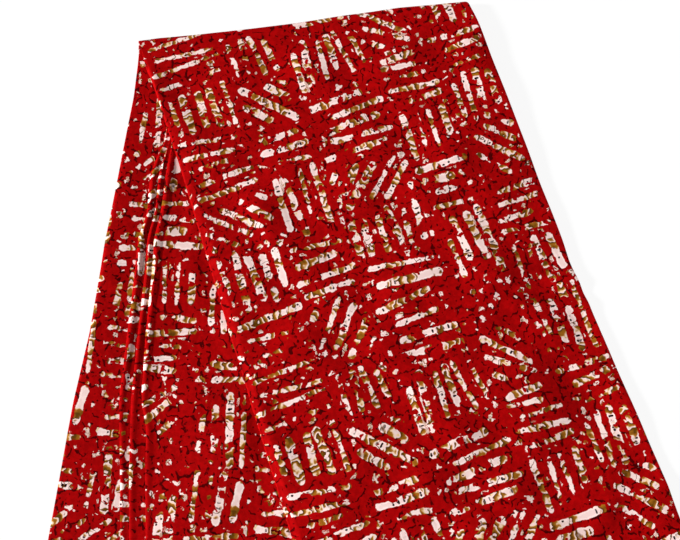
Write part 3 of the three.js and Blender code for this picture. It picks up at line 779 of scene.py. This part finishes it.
def wax_print_finish(name, ground, colours):
    """Printed cotton. The charted distance to the nearest bar, made ragged and broken by
    noise, gives the bare cotton; strokes of gold and brown cross it in places, scraps and
    rings lie between the bars, and short dark cracks run through the red."""
    finish = Finish(name)
    cloth = finish.node("ShaderNodeUVMap", {"uv_map": "cloth"}).outputs["UV"]
    place = finish.vector("MULTIPLY", cloth, (1000, 1000, 1000))
    bar = finish.node("ShaderNodeSeparateXYZ", {}, [
        finish.node("ShaderNodeAttribute", {"attribute_name": "bar"}).outputs["Vector"]])
    distance, along, seed = (Value(finish, bar.outputs[k]) for k in range(3))
    on_bar = finish.node("ShaderNodeCombineXYZ", {}, [along, seed * 900]).outputs[0]

    ragged = finish.noise(place, 3.8, 2.0) - 0.5
    wander = finish.noise(place, 12, 1.0) - 0.5
    cut = finish.noise(on_bar, 12, 1.5) + finish.noise(place, 8, 2.0) + seed * 0.24
    broken = cut.step(1.23, 1.33)
    outline = distance + ragged * 2.3 + wander * 3.0 + broken * 6.0
    shift = finish.node("ShaderNodeTexNoise", {"noise_dimensions": "2D"},
                        {"Vector": place, "Scale": 1 / 6, "Detail": 2.0}).outputs[1]
    bent = finish.vector("ADD", place, finish.vector("MULTIPLY", shift, (9, 9, 0)))
    scrap_gap, (kept, size, kind) = finish.cells(bent, 8.4)
    scrap = scrap_gap - (0.3 + 2.5 * size) + ragged * 2.4
    ring = abs(scrap + 1.1) - 0.7
    scrap = scrap + (ring - scrap) * kind.step(0.66, 0.7)
    scrap = scrap.most(2.2 - distance + broken * 2.0) + kept.step(0.5, 0.46) * 6
    inside = outline.least(scrap)
    bare = inside.step(0.2, -0.2)

    warp = finish.noise(place, 8, 1.5) - 0.5
    stroke = (along / 7.0 + warp * 2.4 + seed * 9) % 1.0
    gilded = (finish.noise(on_bar, 17, 1.0) + finish.noise(place, 9, 1.0) * 0.5).step(0.7, 0.75)
    lined = (stroke.step(0.0, 0.04) * stroke.step(0.2, 0.1)
             * finish.noise(on_bar, 20, 0.0).step(0.55, 0.6))
    dot_gap, (dot_kept, dot_size, _) = finish.cells(place, 6.2)
    dot = (dot_gap - dot_size * 0.35).step(0.98, 0.66) * dot_kept.step(0.58, 0.62)
    apart = ((along / 4.6 + seed * 7) % 1.0 - 0.5) * 4.6
    deep = distance + 1.9 + ragged
    row = ((apart * apart + deep * deep).step(1.0, 0.45)
           * finish.noise(on_bar, 13, 0.0).step(0.56, 0.6))
    dot = dot.most(row) * inside.step(-0.6, -1.0) * (1.0 - gilded * 0.8)

    near_bar = inside.step(8.0, 2.0)
    patchy = finish.noise(place, 9.0, 2.0) * 0.7 + near_bar * 0.1
    bowed = finish.vector("ADD", place, finish.vector("MULTIPLY", shift, (4, 4, 0)))
    split, _ = finish.cells(bowed, 11.0, "DISTANCE_TO_EDGE")
    first = (split + ragged * 1.8).step(1.15, 0.55) * patchy.step(0.44, 0.465)
    second = (abs(finish.noise(bowed, 9.0, 1.0) - 0.5).step(0.07, 0.035)
              * patchy.step(0.35, 0.33))
    crack = first.most(second)

    mottled = finish.noise(place, 38, 1.0).step(0.3, 0.7)
    clouded = finish.noise(place, 4.2, 3.0, 0.6).step(0.35, 0.68)
    tone = 0.85 + mottled * 0.08 + clouded * 0.25
    tone = finish.node("ShaderNodeCombineXYZ", {}, [tone, tone, tone]).outputs[0]
    red = finish.vector("MULTIPLY", tone, tuple(ground))
    red = finish.blend(crack * (0.85 + clouded * 0.12), red, (*colours.crackle, 1))
    cotton = finish.blend(inside.step(-2.0, -1.0), (*colours.bare, 1), PALE_COTTON)
    gilt = finish.node("ShaderNodeValToRGB", {"stops": [
        (0.0, colours.brown), (0.16, colours.brown), (0.34, [0.65 * c for c in colours.gold]),
        (0.58, colours.gold), (0.72, PALE_GILT), (0.82, colours.bare),
        (1.0, colours.bare)]}, [stroke])
    cotton = finish.blend(lined, cotton, (*colours.brown, 1))
    cotton = finish.blend(gilded, cotton, gilt.outputs[0])
    cotton = finish.blend(dot, cotton, PIN_HOLE)
    colour = finish.blend(bare, red, cotton)

    threads = finish.node("ShaderNodeSeparateXYZ", {}, [
        finish.vector("SINE", finish.vector("MULTIPLY", place, (9.0, 9.0, 9.0)))])
    weave = Value(finish, threads.outputs[0]) * Value(finish, threads.outputs[1])
    crumple = finish.noise(place, 16, 3.0, 0.55)
    height = weave * 0.02 + crumple * 0.6
    bump = finish.node("ShaderNodeBump", {}, {
        "Strength": 0.5, "Distance": 0.0006, "Height": height})
    shader = finish.node("ShaderNodeBsdfPrincipled", {}, {
        "Base Color": colour, "Roughness": 0.7 + mottled * 0.08, "Specular IOR Level": 0.01,
        "Normal": bump.outputs[0]})
    finish.node("ShaderNodeOutputMaterial", {}, [shader.outputs[0]])
    return finish.material


def face_material(context):
    """The print on every ply that shows, made once."""
    colours = context.scene.wax_print_colours
    return bpy.data.materials.get("printed_cotton") or wax_print_finish(
        "printed_cotton", colours.ground, colours)


# ---- Operators ----
class FrontOuterPly(bpy.types.Operator):
    """Makes the front leg's outer ply, rolled under along its left edge"""

    bl_idname = "wax_print.front_outer_ply"
    bl_label = "Front leg's outer ply"

    def execute(self, context):
        sizes = context.scene.wax_print_sizes
        piece = cloth_object("front_leg_outer_ply_cloth", front_outer_shape(sizes), sizes,
                             face_material(context))
        return {"FINISHED"}


class FrontHiddenPlies(bpy.types.Operator):
    """Makes the front leg's three hidden plies as one sheet, layered at its edges"""

    bl_idname = "wax_print.front_hidden_plies"
    bl_label = "Front leg's hidden plies"

    def execute(self, context):
        sizes, colours = context.scene.wax_print_sizes, context.scene.wax_print_colours
        # the hidden plies get a darker copy of the print, painted shade inside the fold
        material = wax_print_finish("printed_cotton_inside", colours.shaded_inner_ground, colours)
        piece = cloth_object("front_leg_hidden_plies_cloth", front_hidden_shape(sizes), sizes,
                             material)
        return {"FINISHED"}


class BackPlies(bpy.types.Operator):
    """Makes the back leg's four plies, each with its folded left edge"""

    bl_idname = "wax_print.back_plies"
    bl_label = "Back leg's plies"

    def execute(self, context):
        sizes = context.scene.wax_print_sizes
        for level, (node, column, outset, end_down, fine, coarse) in enumerate(BACK_PLIES):
            shape = back_ply_shape(sizes, column, level, outset, end_down, fine, coarse)
            piece = cloth_object(node + "_cloth", shape, sizes, face_material(context))
        return {"FINISHED"}


class Stage(bpy.types.Operator):
    """Makes the plain floor, the soft light and the camera"""

    bl_idname = "wax_print.stage"
    bl_label = "Stage"

    def execute(self, context):
        settings = context.scene.wax_print_stage
        half = settings.floor_size / 2
        mesh = bpy.data.meshes.new("floor")
        corners = ((-half, -half), (half, -half), (half, half), (-half, half))
        mesh.from_pydata([(x, y, FLOOR_HEIGHT) for x, y in corners], [], [(0, 1, 2, 3)])
        floor = bpy.data.objects.new("floor", mesh)
        context.scene.collection.objects.link(floor)
        finish = Finish("floor")
        shader = finish.node("ShaderNodeBsdfPrincipled", {}, {
            "Base Color": (*settings.floor_colour, 1), "Roughness": 0.9, "Specular IOR Level": 0.1,
            "Emission Color": (1, 1, 1, 1), "Emission Strength": 0.9})
        finish.node("ShaderNodeOutputMaterial", {}, [shader.outputs[0]])
        mesh.materials.append(finish.material)

        world = bpy.data.worlds.new("sky")
        world.use_nodes = True
        world.node_tree.nodes["Background"].inputs[0].default_value = (1, 1, 1, 1)
        world.node_tree.nodes["Background"].inputs[1].default_value = settings.sky_strength
        context.scene.world = world
        for name, height, turn, spread in LIGHTS:
            light = bpy.data.lights.new(name, "SUN")
            light.angle = math.radians(spread)
            light.energy = getattr(settings, name + "_strength")
            lamp = bpy.data.objects.new(name, light)
            lamp.location = LIGHT_PLACE
            low, aside = math.radians(height), math.radians(turn)
            towards = Vector((math.cos(low) * math.cos(aside), math.cos(low) * -math.sin(aside),
                              -math.sin(low)))
            lamp.rotation_euler = towards.to_track_quat("-Z", "Y").to_euler()
            context.scene.collection.objects.link(lamp)

        camera = bpy.data.objects.new("camera", bpy.data.cameras.new("camera"))
        camera.data.lens = CAMERA_LENS
        camera.data.sensor_width = 36
        camera.data.clip_start = 0.01
        camera.location = CAMERA_PLACE
        camera.rotation_euler = (math.radians(CAMERA_TILT), 0, 0)
        context.scene.collection.objects.link(camera)
        context.scene.camera = camera
        context.scene.view_settings.view_transform = "Standard"
        return {"FINISHED"}


class ClothPanel(bpy.types.Panel):
    """Lists the cloth's sizes, colours and pieces"""

    bl_idname = "VIEW3D_PT_wax_print"
    bl_label = "Wax print"
    bl_space_type = "VIEW_3D"
    bl_region_type = "UI"
    bl_category = "Wax print"

    def draw(self, context):
        for group in ("wax_print_sizes", "wax_print_colours", "wax_print_stage"):
            box = self.layout.box()
            settings = getattr(context.scene, group)
            for name in settings.bl_rna.properties.keys():
                if name not in ("rna_type", "name"):
                    box.prop(settings, name)
        for piece in PIECES:
            self.layout.operator(piece.bl_idname)


PIECES = (FrontOuterPly, FrontHiddenPlies, BackPlies, Stage)
CLASSES = (ClothSizes, ClothColours, StageSettings, *PIECES, ClothPanel)


def register():
    for item in CLASSES:
        bpy.utils.register_class(item)
    bpy.types.Scene.wax_print_sizes = bpy.props.PointerProperty(type=ClothSizes)
    bpy.types.Scene.wax_print_colours = bpy.props.PointerProperty(type=ClothColours)
    bpy.types.Scene.wax_print_stage = bpy.props.PointerProperty(type=StageSettings)


def unregister():
    del bpy.types.Scene.wax_print_stage
    del bpy.types.Scene.wax_print_colours
    del bpy.types.Scene.wax_print_sizes
    for item in reversed(CLASSES):
        bpy.utils.unregister_class(item)


def main():
    """Makes every piece."""
    register()
    bpy.ops.wax_print.front_outer_ply()
    bpy.ops.wax_print.front_hidden_plies()
    bpy.ops.wax_print.back_plies()
    bpy.ops.wax_print.stage()


if __name__ == "__main__":
    main()
